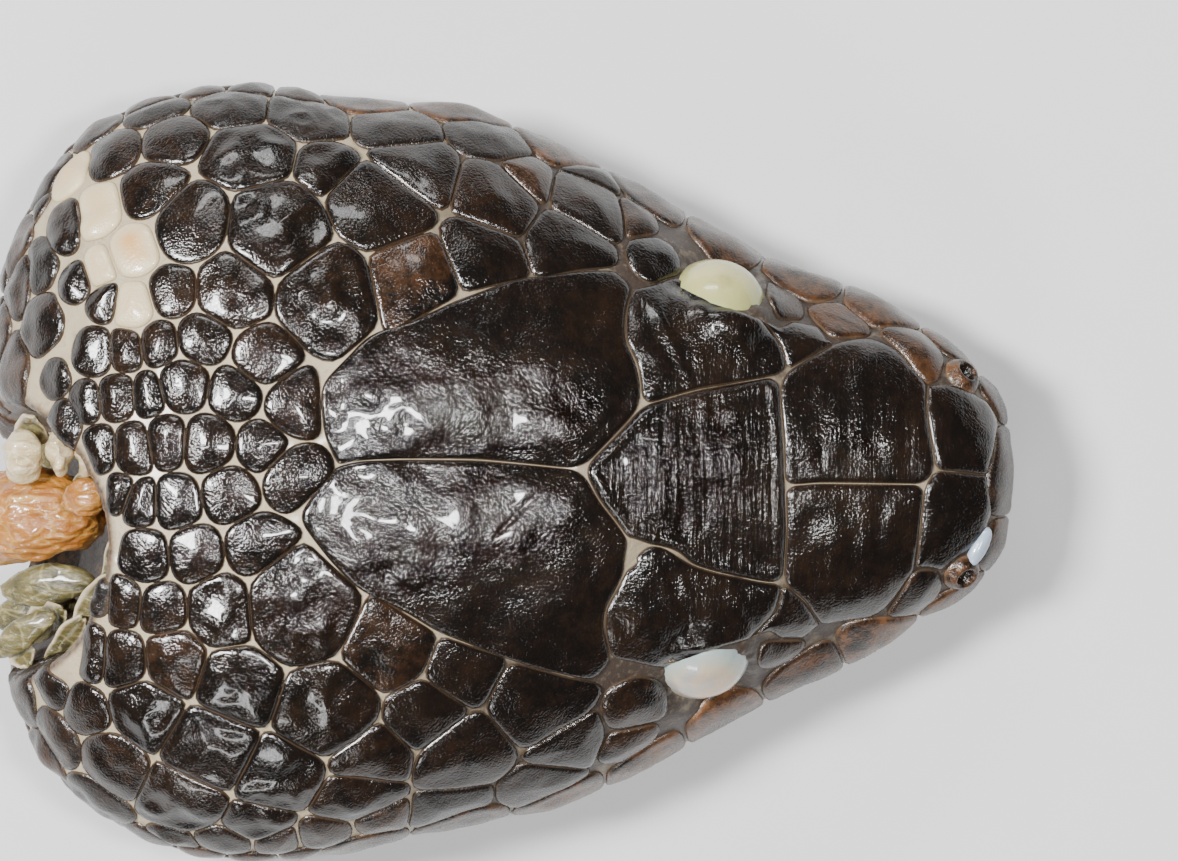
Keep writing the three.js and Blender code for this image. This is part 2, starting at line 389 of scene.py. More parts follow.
def keratin_look(colours):
    """Wet dark horn: nearly black, mottled brown, wrinkled, and paler where it thins to an edge."""
    look = Look("Keratin", Coat_Roughness=0.06, Specular_IOR_Level=0.5)
    place = look.place()
    rim = look.attribute("rim")
    cream = look.attribute("cream")
    amber = look.attribute("amber")
    warm = look.attribute("warm")
    ridged = look.attribute("ridged")
    cloud = look.noise(place, 0.35, 5.0, 0.6)
    mottle = look.noise(place, 1.7, 6.0, 0.72)
    speck = look.noise(place, 6.0, 3.0, 0.6)
    brown_amount = (cloud.over(0.42, 0.72) * 0.55 + mottle.over(0.5, 0.75) * 0.45) * (warm * 1.6 + 0.35)
    horn = look.mix(brown_amount.clamped(), tuple(colours.horn), tuple(colours.brown))
    warmth = (warm * (cloud * 0.4 + mottle * 0.6).over(0.38, 0.66) * 0.85).clamped()
    horn = look.mix(warmth, horn, tuple(colours.lip))
    thin = rim.over(0.12, 0.0) * 0.3
    horn = look.mix(thin, horn, (0.22, 0.15, 0.095))
    pale = look.mix(mottle.over(0.35, 0.7), tuple(colours.cream), (0.5, 0.4, 0.24))
    core = rim.over(0.15, 1.1) * amber * (mottle * 0.6 + 0.5)
    pale = look.mix(core.clamped(), pale, tuple(colours.amber))
    colour = look.mix(cream, horn, pale)
    colour = look.mix(speck.over(0.73, 0.8) * 0.25, colour, (0.2, 0.16, 0.12))
    wander = look.shift(place, 0.9, 0.8)
    crease = look.cracks(wander, 1.25).over(0.0, 0.16)
    skewed = look.place(turn=0.5, tilt=0.65)
    fine = look.noise(look.shift(skewed, 0.25, 1.6), 9.0, 2.0, 0.5)
    soft = look.noise(skewed, 1.1, 3.0, 0.5)
    streaks = look.shift(look.place((1.0, 0.1, 0.1), -0.12), 0.3, 0.6)
    furrow = look.noise(streaks, 3.2, 3.0, 0.6)
    height = crease * 0.06 + fine * 0.75 + soft * 0.45 + furrow * ridged * 3.0
    steep = look.attribute("steep")
    roughness = (0.07 + fine * 0.12 + cloud * 0.07 + cream * 0.2 + steep * 0.12).clamped()
    coat = (0.5 - cloud * 0.4 - steep * 0.4).clamped()
    return look.finish(colour, roughness, height, colours.wrinkles, coat=coat)


def seam_look(colours):
    """The soft pale skin between scales, dark brown at the crown and paler there on upward faces (a painted
    highlight), raw brown with painted shade in the neck's hollow, and painted shade in the mouth's slit.
    """
    look = Look("Seam skin", Coat_Roughness=0.12, Specular_IOR_Level=0.3)
    place = look.place()
    lining = look.attribute("lining")
    slit = look.attribute("slit")
    crown = look.attribute("crown")
    stain = look.noise(place, 0.5, 5.0, 0.65)
    grain = look.noise(place, 3.0, 5.0, 0.65)
    skin = look.mix(stain.over(0.38, 0.7), tuple(colours.seam), (0.36, 0.29, 0.2))
    # The crown's seams take a dark brown; upward faces take less of it, so the top seams stay paler: a
    # painted highlight.
    skin = look.mix(crown * (1.0 - stain.over(0.52, 0.68) * 0.3), skin, (0.035, 0.025, 0.019))
    skin = look.mix(grain.over(0.52, 0.75) * 0.5, skin, (0.2, 0.15, 0.1))
    # The hollow's lining: raw tissue's brown, darkened towards black as painted shade deep in the cut.
    raw_and_shade = look.mix(grain.over(0.4, 0.65), (0.028, 0.016, 0.01), (0.12, 0.065, 0.03))
    skin = look.mix(lining, skin, raw_and_shade)
    # Painted shade: the mouth's slit darkened nearly to black.
    skin = look.mix(slit * 0.9, skin, (0.02, 0.012, 0.008))
    height = grain + look.noise(place, 9.0, 3.0, 0.6) * 0.5
    roughness = 0.3 + grain * 0.2
    return look.finish(skin, roughness, height, 0.05, coat=0.3 - crown * 0.25)


def eye_look(name, white, centre, rim_tint):
    """A clouded eye under its clear scale: a milky dome, warmer or bluer in places."""
    look = Look(
        name, Coat_Weight=0.7, Coat_Roughness=0.08, Subsurface_Weight=0.25, Subsurface_Scale=0.6 * MM
    )
    place = look.place()
    pupil = look.attribute("pupil")
    cloud = look.noise(place, 0.7, 4.0, 0.55)
    fleck = look.noise(place, 3.5, 4.0, 0.6)
    milk = look.mix(pupil, white, centre)
    milk = look.mix(cloud.over(0.45, 0.75) * 0.55, milk, rim_tint)
    milk = look.mix(fleck.over(0.6, 0.8) * 0.25, milk, (0.36, 0.33, 0.2))
    return look.finish(milk, 0.24 + fleck * 0.12, fleck + cloud, 0.02)


def flesh_look(name, pale, deep, stripe, coarse, gloss):
    """Wet tissue whose fibres run back from the head, with pale sinew between them."""
    look = Look(name, Coat_Roughness=0.08, Subsurface_Weight=0.12, Subsurface_Scale=0.5 * MM)
    place = look.shift(look.place((0.35, 1.6, 1.6), 0.12), 0.5, 0.6)
    fibre = look.noise(place, coarse, 5.0, 0.6)
    blot = look.noise(look.place(), 0.8, 4.0, 0.6)
    colour = look.mix(blot.over(0.35, 0.7), pale, deep)
    colour = look.mix(fibre.over(0.52, 0.7) * 0.7, colour, stripe)
    septa = look.cracks(look.shift(look.place((0.6, 1.0, 1.0)), 0.6, 0.7), 0.8)
    colour = look.mix(septa.over(0.05, 0.0) * 0.55, colour, stripe)
    colour = look.mix(look.attribute("edge").over(0.55, 0.95) * 0.8, colour, (0.6, 0.5, 0.33))
    fine = look.noise(look.place(), 4.0, 4.0, 0.6)
    height = fibre * 1.2 + fine * 0.5
    return look.finish(colour, 0.22 + blot * 0.2, height, 0.12, coat=(gloss - blot * 0.3).clamped())


def floor_look():
    """The stage's board: matt, pale grey and a little uneven."""
    look = Look("Matt pale board")
    grain = look.noise(look.place(), 0.25, 4.0, 0.5)
    tone = look.mix(grain, (0.52, 0.52, 0.52), (0.56, 0.56, 0.56))
    return look.finish(tone, 0.62 + grain * 0.1, grain, 0.01)


# ---------------------------------------------------------------- scales

OUTLINE_POINTS = 32  # round a small scale
CELL_EASING = 3  # passes that round a small scale's corners, unless its marks say otherwise
SHIELD_POINTS = 150  # round a large shield
SHIELD_EASING = 5
CELL_REACH = 1.6  # how far a small scale may spread where nothing stops it, in its own radii
RING_CROWDING = 1.5  # above 1, a scale's rings crowd towards its edge
SMALLEST_SCALE = 0.45  # mm; a cell smaller than a square of this width is left empty
TUCK = -0.07  # mm; a scale's edge is sunk this far into the skin
EDGE_ROUND = 0.09  # mm in from the edge in which a scale rises to its thickness
STRAY = 3.0  # mm; a scale that clings is drawn to the nearest skin if its own is further off
MARKS = ("cream", "amber", "warm", "ridged")  # what a material reads from a scale, one value for the whole


class Scale:
    """One small scale before it is cut out: where it sits, which way it faces and how big it is."""

    def __init__(self, family, place, facing, radius, seam=0.03, **marks):
        self.family = family
        self.place = place
        self.facing = facing
        self.radius = radius * MM
        self.seam = seam * MM
        self.marks = marks
        self.marks["warm"] = marks.get("warm", 0.0) * random.uniform(0.5, 1.5)  # no two are alike


def find_on_skin(origin, direction):
    """Where a line from outside first meets the skin, and which way the skin faces there."""
    place, normal, _, _ = store["skin"].ray_cast(origin, direction)
    return (place, normal) if place else (None, None)


def average_facing(place, normal, reach):
    """The way the skin faces at a place, evened out with six places round it at the given reach, mm."""
    total = normal.copy()
    side = normal.orthogonal().normalized()
    for step in range(6):
        turn = Matrix.Rotation(step * math.pi / 3, 3, normal)
        hit = store["skin"].find_nearest(place + turn @ side * reach * MM)
        total += hit[1]
    return total.normalized()


def seed(family, origin, direction, radius, **marks):
    """A scale where a line from outside meets the skin, or None if the line misses it."""
    place, normal = find_on_skin(origin, direction)
    if place is None:
        return None
    return Scale(family, place, average_facing(place, normal, radius * 0.7), radius, **marks)


def eased(corners, count, passes):
    """A closed outline resampled evenly, with its corners rounded a little more on each pass."""
    total = sum((b - a).length for a, b in zip(corners, corners[1:] + corners[:1]))
    points = []
    travelled, target = 0.0, 0.0
    for a, b in zip(corners, corners[1:] + corners[:1]):
        length = (b - a).length
        while target < travelled + length and len(points) < count:
            points.append(a.lerp(b, (target - travelled) / length))
            target += total / count
        travelled += length
    for _ in range(passes):
        points = softened(points)
    return points


def drawn_in(points, facing, amount):
    """The outline moved inwards by the same amount all round."""
    count = len(points)
    middle = sum(points, Vector()) / count
    moved = []
    for i, point in enumerate(points):
        along = points[(i + 1) % count] - points[i - 1]
        inward = facing.cross(along).normalized()
        if inward.dot(middle - point) < 0 and (middle - point).length > amount * 4:
            inward = (inward * 0.2 + (middle - point).normalized()).normalized()
        moved.append(point + inward * amount)
    return moved


def disc(rings, spokes):
    """A flat round web of rings and spokes, its rings closest together at the edge."""
    key = ("disc", rings, spokes)
    if key not in store:
        bm = bmesh.new()
        radii = [1.0 - (ring / rings) ** RING_CROWDING for ring in range(rings + 1)]
        spine = [bm.verts.new((radius, 0.0, 0.0)) for radius in radii]
        edges = [bm.edges.new(pair) for pair in zip(spine, spine[1:])]
        bmesh.ops.spin(
            bm, geom=spine + edges, cent=(0, 0, 0), axis=(0, 0, 1), angle=2 * math.pi, steps=spokes,
            use_merge=True,
        )
        bmesh.ops.remove_doubles(bm, verts=bm.verts, dist=1e-5)
        mesh = bpy.data.meshes.new("disc")
        bm.to_mesh(mesh)
        bm.free()
        polar = []
        for vertex in mesh.vertices:
            turn = math.atan2(vertex.co.y, vertex.co.x) / (2 * math.pi) * spokes
            polar.append((vertex.co.length, round(turn) % spokes))
        store[key] = (mesh, polar)
    return store[key]


def lay_scale(bm, outline, facing, rings, thickness, bulge, marks, relief=None):
    """Adds one scale to a bmesh: a disc stretched to the outline, laid on the skin and padded out.
    The outline is in metres, and the thickness, the bulge and the relief are in millimetres."""
    mesh, polar = disc(rings, len(outline))
    before = len(bm.verts)
    bm.from_mesh(mesh)
    bm.verts.ensure_lookup_table()
    layers = bm.verts.layers.float
    middle = sum(outline, Vector()) / len(outline)
    edge = point_tree(outline)
    widest = max(edge.find(middle)[2] / MM, 0.2)
    reach = 6.0 * MM
    for vertex, (radius, turn) in zip(bm.verts[before:], polar):
        flat = middle + (outline[turn] - middle) * radius
        inside = edge.find(flat)[2] / MM if radius < 1 else 0.0
        seat, normal = find_on_skin(flat + facing * reach, -facing)
        stray = seat is not None and abs((seat - flat).dot(facing)) > STRAY * MM
        if seat is None or stray and marks.get("clings", True):
            seat, normal = store["skin"].find_nearest(flat)[:2]
        lean = (normal + facing).normalized()
        rise = thickness * (1 - math.exp(-inside / EDGE_ROUND)) + bulge * (1 - hump(inside, widest * 0.8))
        if radius > 0.999:
            rise = TUCK
        if relief:
            rise += relief(flat, inside)
        rise += 0.03 * noise.noise(flat / MM * 0.9) * min(inside / 0.3, 1.0)
        if marks.get("crumpled"):
            fold = 0.5 - abs(noise.noise(flat / MM * 0.75)) * 2.0
            rise += marks["crumpled"] * fold * min(inside / 0.5, 1.0)
        vertex.co = seat + lean * rise * MM
        vertex[layers["rim"]] = inside
        vertex[layers["steep"]] = smooth_step(0.85, 0.35, facing.z)
        for mark in MARKS:
            vertex[layers[mark]] = marks.get(mark, 0.0)


def scale_mesh():
    """An empty bmesh ready to hold scales: rim is how far in from the edge, steep how sheer the side."""
    bm = bmesh.new()
    for mark in ("rim", "steep", *MARKS):
        bm.verts.layers.float.new(mark)
    return bm


def cell_outline(scale, neighbours, walls):
    """The shape left to a scale between its neighbours and the walls, with its corners eased."""
    across = scale.facing.orthogonal().normalized()
    turn = Matrix((across, scale.facing.cross(across), scale.facing)).transposed().to_4x4()
    bm = bmesh.new()
    bmesh.ops.create_circle(
        bm, cap_ends=True, segments=18, radius=scale.radius * CELL_REACH,
        matrix=Matrix.Translation(scale.place) @ turn,
    )
    cuts = []
    for other in neighbours:
        gap = other.place - scale.place
        far = gap.length
        share = (far * far + scale.radius**2 - other.radius**2) / (2 * far)
        cuts.append((scale.place + gap / far * share, gap / far))
    for point in walls:
        gap = point - scale.place
        cuts.append((point, gap.normalized()))
    for point, away in cuts:
        geometry = bm.verts[:] + bm.edges[:] + bm.faces[:]
        bmesh.ops.bisect_plane(bm, geom=geometry, plane_co=point, plane_no=away, clear_outer=True)
        if not bm.faces:
            bm.free()
            return None
    bm.faces.ensure_lookup_table()
    face = bm.faces[0]
    size = face.calc_area()
    corners = [loop.vert.co.copy() for loop in face.loops]
    if face.normal.dot(scale.facing) < 0:
        corners.reverse()
    bm.free()
    if size < (SMALLEST_SCALE * MM) ** 2 or len(corners) < 3:
        return None
    outline = eased(corners, OUTLINE_POINTS, scale.marks.get("easing", CELL_EASING))
    return drawn_in(outline, scale.facing, scale.seam)


# ---------------------------------------------------------------- the skin underneath

EYE_SIDES = {"left_eye": 1, "right_eye": -1}
EYE_BOXES = {node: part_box(node) for node in EYE_SIDES}
SOCKET_FILL = 1.17  # the eyeball is swelled this much, to close the gap round it under the lids
EYE_SEAT = 0.95  # the skin under an eye lies this far out from its middle, in its own radii
BAY_LIP = (1.02, 1.07)  # the skin's torn edge, as depths of the hollow


def eye_centre(node):
    low, high = EYE_BOXES[node]
    return (low + high) / 2


def eye_radius(node):
    low, high = EYE_BOXES[node]
    return (high.z - low.z) / 2


def gaze(node):
    """The way an eye looks: out to its side, a little up and ahead."""
    return Vector((0.12, EYE_SIDES[node] * 0.86, 0.42)).normalized()


def hollows(point, normal):
    """How far the skin stands out of its plain form at a place, in mm."""
    x, y, z = point
    side = abs(y)
    rise = 0.3 * (1 - abs(normal.z)) - 0.2
    # The hollow ahead of each eye
    lore = hump(x - 15.6, 2.6) * hump(z - 7.2, 1.3) * smooth_step(4.5, 6.5, side)
    rise -= 0.45 * lore
    # The brow over each eye
    rise += 0.28 * hump(x - 10.5, 3.2) * hump(side - 6.2, 1.3) * smooth_step(0.2, 0.6, normal.z)
    # The groove along the middle of the crown
    rise -= 0.22 * hump(y - 0.2, 1.1) * hump(x + 1.0, 5.5) * smooth_step(0.3, 0.8, normal.z)
    # The jaw muscle behind the crown, on each side
    rise += 0.16 * hump(x + 8.5, 3.5) * hump(side - 8.5, 3.0) * smooth_step(0.2, 0.6, normal.z)
    rise += 0.1 * noise.noise(point * 0.55) + 0.04 * noise.noise(point * 1.6)
    if x > MOUTH_CORNER:
        fade = smooth_step(MOUTH_CORNER, MOUTH_CORNER + 3.0, x)
        rise -= 0.55 * fade * hump(z - mouth_height(x), 0.26)
    if x < -15.0 and bay_depth(point) > 1.03:
        rise += 0.22 * noise.noise(point * 0.9) * smooth_step(-15.0, -18.0, x)
    return rise


def make_skin():
    """The skin below the scales: the head's own form with its lids, lips, hollows and torn edge."""
    bm = node_surface("head")
    for node in EYE_SIDES:
        reach = eye_radius(node) * SOCKET_FILL
        place = Matrix.Translation(eye_centre(node))
        bmesh.ops.create_icosphere(bm, subdivisions=4, radius=reach, matrix=place)
    bm = even_grid(bm, store["sizes"].skin_grid * MM)
    relax(bm, 4)
    bm.normal_update()
    moves = [(vertex, vertex.normal.copy()) for vertex in bm.verts]
    for vertex, normal in moves:
        vertex.co += normal * hollows(drawn(vertex.co), normal) * MM
        for node in EYE_SIDES:
            out = vertex.co - eye_centre(node)
            seat = eye_radius(node) * EYE_SEAT
            if seat < out.length < eye_radius(node) * 1.3 and out.normalized().dot(gaze(node)) > 0.5:
                vertex.co = eye_centre(node) + out.normalized() * seat
    relax(bm, 1)
    bm.normal_update()
    layers = {mark: bm.verts.layers.float.new(mark) for mark in ("lining", "slit", "crown")}
    for vertex in bm.verts:
        point = drawn(vertex.co)
        # The hollow's lining, raw tissue that its finish darkens with painted shade.
        vertex[layers["lining"]] = 1.0 - smooth_step(BAY_LIP[0], 1.06, bay_depth(point))
        # The band along the mouth's slit, where its finish paints shade.
        slit_shade_band = hump(point.z - mouth_height(point.x), 0.3)
        vertex[layers["slit"]] = slit_shade_band * smooth_step(MOUTH_CORNER, MOUTH_CORNER + 2.0, point.x)
        # Dark seam skin ahead of the nape, weaker on upward faces so the top seams stay paler: a painted
        # highlight.
        ahead = smooth_step(-7.0, 1.0, point.x) * smooth_step(3.5, 5.5, point.z)
        vertex[layers["crown"]] = ahead * (1.0 - 0.55 * smooth_step(0.85, 0.96, vertex.normal.z))
    return bm


# ---------------------------------------------------------------- where the scales go


def throat_outlines():
    """The paired shields under the chin and the broad belly scales behind them, seen from below."""
    front = [(20.2, 0.1), (20.6, 1.1), (19.6, 2.2), (17.0, 2.9), (15.0, 2.5), (14.3, 1.2), (14.2, 0.1)]
    back = [(14.0, 0.1), (14.1, 1.3), (14.8, 2.7), (12.4, 3.2), (9.9, 2.9), (9.0, 1.7), (9.3, 0.3)]
    outlines = {}
    for name, points in (("front_chin", front), ("back_chin", back)):
        outlines["left_" + name] = points
        outlines["right_" + name] = [(x, -y) for x, y in reversed(points)]
    for row in range(6):
        ahead = 3.4 - 3.35 * row
        half = 3.8 + 0.55 * row
        outlines[f"belly_{row + 1}"] = [
            (ahead, -half * 0.8), (ahead + 0.5, 0.0), (ahead, half * 0.8), (ahead - 0.9, half),
            (ahead - 2.6, half * 0.9), (ahead - 3.2, 0.0), (ahead - 2.6, -half * 0.9), (ahead - 0.9, -half),
        ]
    return outlines


def shield_outline(points, level):
    """A shield's drawn outline, eased and set at a level, running anticlockwise seen from above."""
    outline = eased([Vector((x, y, 0.0)) for x, y in points], SHIELD_POINTS, SHIELD_EASING)
    turn = sum(a.x * b.y - b.x * a.y for a, b in zip(outline, outline[1:] + outline[:1]))
    if turn < 0:
        outline.reverse()
    return [spot(point.x, point.y, level) for point in outline]


PALE_FOLD = (6.35, -3.95)  # middle of the pale fold left between the frontal and the right brow
FOLD_REACH = 0.4  # mm round it in which the shields don't close up
MEETING_REACH = 1.0  # shields whose drawn edges are this near, mm, share a seam half way between them


def crown_outlines():
    """The crown's outlines, moved to meet their neighbours half way with one even seam between."""
    if "crown" in store:
        return store["crown"]
    drawn_edges = {name: shield_outline(points, 12.0) for name, points in CROWN_SHIELDS.items()}
    up = Vector((0, 0, 1))
    fold = spot(*PALE_FOLD, 12.0)
    met = {}
    for name, outline in drawn_edges.items():
        others = [point for other, points in drawn_edges.items() if other != name for point in points]
        tree = point_tree(others)
        moved = []
        for point in outline:
            nearest, _, far = tree.find(point)
            if far < MEETING_REACH * MM and (point - fold).length > FOLD_REACH * MM:
                moved.append((point + nearest) / 2)
            else:
                moved.append(point)
        moved = softened(softened(moved))
        met[name] = drawn_in(moved, up, store["sizes"].crown_seam * MM)
    store["crown"] = met
    return met


def lid_points(node):
    """The edge of an eye's lids."""
    axis = gaze(node)
    spoke = axis.orthogonal().normalized()
    reach = eye_radius(node) * 1.02
    lid = []
    for step in range(48):
        turned = Matrix.Rotation(step * math.pi / 24, 3, axis) @ spoke
        lid.append(eye_centre(node) + (axis * 0.5 + turned * 0.87) * reach)
    return lid


def mouth_points():
    """The slit of the mouth, along both sides from its corners and round the snout."""
    points = []
    for step in range(170):
        x = MOUTH_CORNER + step * 0.2
        for side in (1, -1):
            points.append(find_on_skin(spot(x, side * 30, mouth_height(x)), Vector((0, -side, 0)))[0])
    for step in range(-20, 21):
        points.append(find_on_skin(spot(40, step * 0.2, mouth_height(23.0)), Vector((-1, 0, 0)))[0])
    return points


def bay_points():
    """The skin's torn edge round the hollow of the neck."""
    rim = []
    for vertex in bpy.data.objects["skin"].data.vertices:
        point = drawn(vertex.co)
        if point.x < -14.0 and BAY_LIP[0] < bay_depth(point) < BAY_LIP[1]:
            outward = Vector([(point[i] - BAY_CENTRE[i]) / BAY_RADII[i] ** 2 for i in range(3)])
            if vertex.normal.dot(outward.normalized()) > 0.0:
                rim.append(vertex.co.copy())
    return rim


def wall_points():
    """Every line that a small scale may not cross: shields, eyes, nostrils, mouth and bay."""
    if "walls" in store:
        return store["walls"]
    down, up = Vector((0, 0, -1)), Vector((0, 0, 1))
    walls = []
    for outline in crown_outlines().values():
        walls.append([find_on_skin(point + up * 10 * MM, down)[0] for point in outline])
    for points in throat_outlines().values():
        outline = shield_outline(points, -5.0)
        walls.append([find_on_skin(point, up)[0] for point in outline])
    walls += [lid_points(node) for node in EYE_SIDES]
    walls += [nostril_ring(side)[0] for side in (1, -1)]
    walls += [mouth_points(), bay_points()]
    found = [[point for point in points if point is not None] for points in walls]
    store["walls"] = [point_tree(points) for points in found]
    return store["walls"]


def placed_seeds():
    """The scales placed one by one, before the cheeks and throat are filled in between them."""
    down = Vector((0, 0, -1))
    seeds = []
    groups = (
        ("nape_scales", NAPE_SCALES, {"warm": 0.12, "seam": -0.04, "easing": 4}),
        ("cream_scales", CREAM_SCALES, {"cream": 1.0, "amber": 0.3, "seam": 0.03}),
        ("cream_scales", AMBER_SCALES, {"cream": 1.0, "amber": 1.0, "seam": 0.03}),
    )
    for family, scales, marks in groups:
        for x, y, radius in scales:
            seeds.append(seed(family, spot(x, y, 40), down, radius, **marks))
    for scales, warm in ((TEMPORAL_SCALES, 0.08), (BROWN_SCALES, 0.32)):
        for x, y, radius in scales:
            family = "temporal_scales_left" if y > 0 else "temporal_scales_right"
            crumpled = 0.16 * smooth_step(-4.0, -7.5, x)
            marks = {"warm": warm, "seam": -0.02, "easing": 1, "crumpled": crumpled}
            seeds.append(seed(family, spot(x, y, 40), down, radius, **marks))
    rows = (
        ("upper_lip_scales", UPPER_LIP_SCALES, 1.0),
        ("lower_lip_scales", LOWER_LIP_SCALES, 0.9),
        ("nose_scales", NOSE_SCALES, 0.4),
    )
    for side in (1, -1):
        inwards = Vector((0, -side, 0))
        for family, scales, warm in rows:
            for x, z, radius in scales:
                seeds.append(seed(family, spot(x, side * 40, z), inwards, radius, warm=warm))
    astern = Vector((-1, 0, 0))
    seeds.append(seed("upper_lip_scales", spot(60, -0.1, 4.9), astern, 2.1, warm=0.25))
    seeds.append(seed("lower_lip_scales", spot(60, 0.0, 1.9), astern, 1.3, warm=0.8))
    for side in (1, -1):
        seeds.append(seed("lower_lip_scales", spot(60, side * 2.4, 1.9), astern, 1.2, warm=0.8))
        seeds.append(seed("upper_lip_scales", spot(60, side * 3.2, 4.7), astern, 1.3, warm=0.8))
    return [scale for scale in seeds if scale]


PITCH = 2.25  # mm between the scales of a filling row
ROW_STEP = 0.88  # how far apart the rows lie, in pitches
FILLING_RADIUS = 1.3
REARMOST = -20.6  # where the rows begin, mm behind the crown's centre
THROAT_HALF = 15.5  # mm out from the middle that the throat's rows reach
CHEEK_LEVELS = (9.4, 5.2, 1.4)
CHEEK_STEP = 2.1  # mm that a second row lies below each cheek level
BACK_LEVELS = (1.6, 3.7, 5.8, 7.9, 10.0)


def filling_seeds():
    """Rows of scales over the cheeks, the throat and the back of the jaw, wherever there is room."""
    rows = []
    for row in range(13):
        for column in range(14):
            x = REARMOST + column * PITCH + PITCH / 2 * (row % 2)
            for side in (1, -1):
                if row < 2:
                    for level in CHEEK_LEVELS:
                        origin = spot(x, side * 40, level - CHEEK_STEP * row)
                        rows.append((origin, Vector((0, -side, 0)), side, "cheek"))
                across = side * (0.6 + row * PITCH * ROW_STEP)
                if across * side < THROAT_HALF:
                    rows.append((spot(x, across, -20), Vector((0, 0, 1)), side, "throat"))
    for number, level in enumerate(BACK_LEVELS):
        for column in range(-5, 6):
            y = column * PITCH + PITCH / 2 * (number % 2)
            rows.append((spot(-60, y, level), Vector((1, 0, 0)), 1 if y > 0 else -1, "cheek"))
    return rows


def all_scales():
    """Every small scale's seed, those placed one by one first."""
    if "scales" in store:
        return store["scales"]
    random.seed(11)
    walls = wall_points()
    seeds = []
    for scale in placed_seeds():
        nearest = min(tree.find(scale.place)[2] for tree in walls)
        if scale.family != "nose_scales" or nearest > 0.4 * scale.radius:
            seeds.append(scale)
    for origin, direction, side, kind in filling_seeds():
        radius = FILLING_RADIUS + random.uniform(-0.1, 0.12)
        place, _ = find_on_skin(origin, direction)
        if place is None or bay_depth(drawn(place)) < BAY_LIP[1]:
            continue
        if any((place - other.place).length < 0.7 * (radius * MM + other.radius) for other in seeds):
            continue
        if any(tree.find(place)[2] < 0.62 * radius * MM for tree in walls):
            continue
        if inside_shield(place) or on_eye(place):
            continue
        family = "throat_scales" if kind == "throat" else f"cheek_scales_{'left' if side > 0 else 'right'}"
        seeds.append(seed(family, origin, direction, radius, warm=0.3, seam=0.02))
    store["scales"] = seeds
    return seeds


def on_eye(place):
    """Whether a place lies on one of the eyes rather than beside it."""
    for node in EYE_SIDES:
        out = place - eye_centre(node)
        if out.length < eye_radius(node) * 1.35 and out.normalized().dot(gaze(node)) > 0.45:
            return True
    return False


def inside_shield(place):
    """Whether a place lies under one of the chin's or throat's shields."""
    point = drawn(place)
    if point.z > 2.0:
        return False
    for points in throat_outlines().values():
        if encloses(points, point.x, point.y):
            return True
    return False


def encloses(points, x, y):
    """Whether an outline goes round a point, both in plan."""
    odd = False
    for (ax, ay), (bx, by) in zip(points, points[1:] + points[:1]):
        if (ay > y) != (by > y) and x < (bx - ax) * (y - ay) / (by - ay) + ax:
            odd = not odd
    return odd


LARGE_SCALE = 1.4  # mm; scales from this radius up get more rings
SCALE_BULGE = 0.16  # mm that a small scale swells in its middle


def grow_scales(family):
    """Cuts out every scale of a family among its neighbours and lays them all on the skin."""
    scales = all_scales()
    walls = wall_points()
    bm = scale_mesh()
    thickness = store["sizes"].scale_thickness
    for scale in [scale for scale in scales if scale.family == family]:
        near = []
        for other in scales:
            gap = (other.place - scale.place).length
            if other is not scale and gap < 1.5 * (scale.radius + other.radius) + 0.5 * MM:
                near.append(other)
        stops = []
        for tree in walls:
            point, _, far = tree.find(scale.place)
            if far < scale.radius * CELL_REACH:
                stops.append(point)
        outline = cell_outline(scale, near, stops)
        if outline:
            rings = 7 if scale.radius < LARGE_SCALE * MM else 10
            lay_scale(bm, outline, scale.facing, rings, thickness, SCALE_BULGE, scale.marks)
    return bm


# ---------------------------------------------------------------- the crown's shields


def off_line(point, start, end):
    """How far a point lies from a straight line between two others, in plan."""
    start, end, plan = Vector(start), Vector(end), Vector((point.x, point.y))
    along = end - start
    step = (plan - start).dot(along) / along.length_squared
    nearest = start + along * min(max(step, 0.0), 1.0)
    return (plan - nearest).length


def crown_relief(name):
    """The shape of each shield's own surface: furrows, creases and swellings, in mm."""

    def relief(place, inside):
        point = drawn(place)
        deep = smooth_step(0.15, 1.2, inside)
        rise = 0.05 * noise.noise(Vector((point.x * 0.5, point.y * 0.5, 3.0))) * deep
        if name == "frontal":
            wander = 0.5 * noise.noise(Vector((point.x * 0.3, point.y * 0.35, 8.0)))
            rise += 0.014 * math.sin(5.2 * (point.x + 0.12 * point.y + wander)) * deep
            rise += 0.1 * hump(inside - 0.35, 0.22)
        elif name.endswith("parietal"):
            crease = off_line(point, (6.8, 3.6), (0.5, -2.8))
            rise -= 0.05 * hump(crease, 0.12) * deep
            rise += 0.1 * hump(point.x - 4.0, 3.0) * deep
            lump = noise.noise(Vector((point.x * 1.3, point.y * 1.3, 1.0)))
            rise += 0.05 * lump * smooth_step(0, -5, point.x)
        elif name.endswith("supraocular"):
            ripple = math.sin(4.2 * (point.y * 0.5 + point.x + noise.noise(point * 0.6)))
            rise += 0.03 * ripple * deep + 0.12 * hump(inside - 1.6, 1.2)
        elif name.endswith("prefrontal"):
            ripple = math.sin(4.6 * (point.x + 0.8 * noise.noise(point * 0.4)))
            rise += 0.02 * ripple * deep
        return rise

    return relief


SHIELD_BULGE = 0.1  # mm that a crown shield swells in its middle
LARGEST_SHIELDS = ("frontal", "left_parietal", "right_parietal")
RIDGED = {  # how strongly a shield is furrowed; those not named are plain
    "frontal": 1.0, "left_prefrontal": 0.35, "right_prefrontal": 0.3,
    "left_supraocular": 0.4, "right_supraocular": 0.4,
}


def make_shield(name, sizes):
    """One of the crown's large shields, furrowed and creased in its own way."""
    bm = scale_mesh()
    up = Vector((0, 0, 1))
    outline = crown_outlines()[name]
    marks = {"warm": 0.06, "ridged": RIDGED.get(name, 0.0), "clings": False}
    rings = 30 if name in LARGEST_SHIELDS else 20
    lay_scale(bm, outline, up, rings, sizes.shield_thickness, SHIELD_BULGE, marks, crown_relief(name))
    return bm


THROAT_SEAM = 0.12  # mm, half the width of the seams between the chin's and belly's shields


